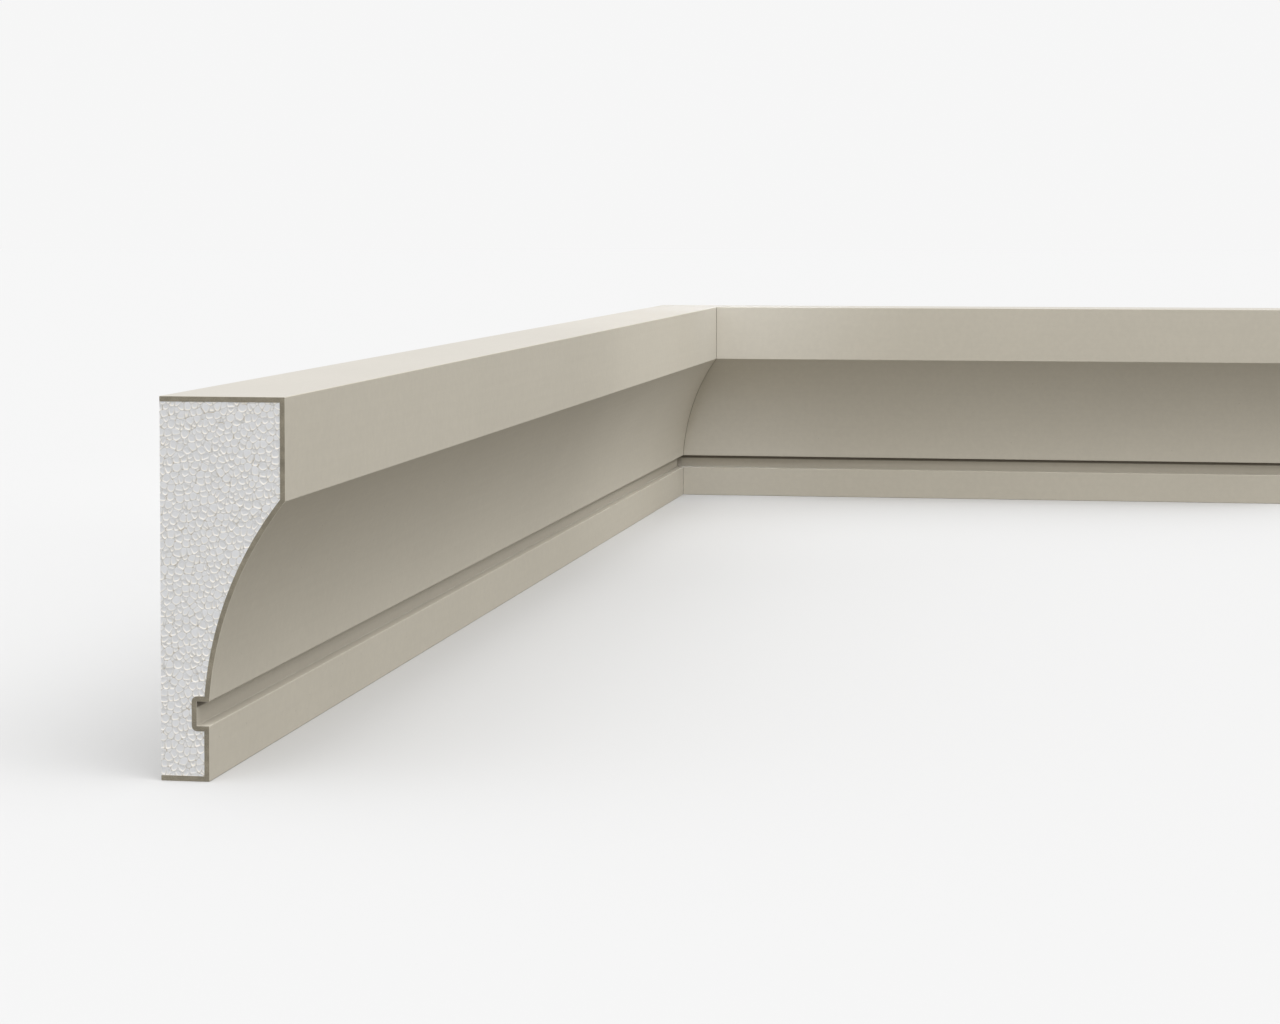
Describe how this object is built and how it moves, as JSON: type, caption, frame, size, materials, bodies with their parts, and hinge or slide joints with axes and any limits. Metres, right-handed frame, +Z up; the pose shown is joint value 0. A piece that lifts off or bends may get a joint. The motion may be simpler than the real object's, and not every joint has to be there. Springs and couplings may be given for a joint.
{
  "type": "facade cornice moulding, inside corner",
  "caption": "Coated-foam cove cornice that turns an inside corner: a long and a short length meeting in a mitre, with fascia, hollow cove, shadow groove and lower band, cut square at both ends.",
  "frame": {"origin": "middle of the plan's bounding rectangle, on the underside", "axes": "+Z up; the long left length runs along Y with its back to -X and its square cut at -Y; the short right length runs along X with its back to +Y and its square cut at +X"},
  "size_m": [0.78, 1.96, 0.238],
  "materials": {
    "coat": "matte",
    "foam": "matte"
  },
  "bodies": {
    "root": {"left_length_foam_core": "foam", "left_length_coat": "coat", "right_length_foam_core": "foam", "right_length_coat": "coat"}
  },
  "joints": []
}
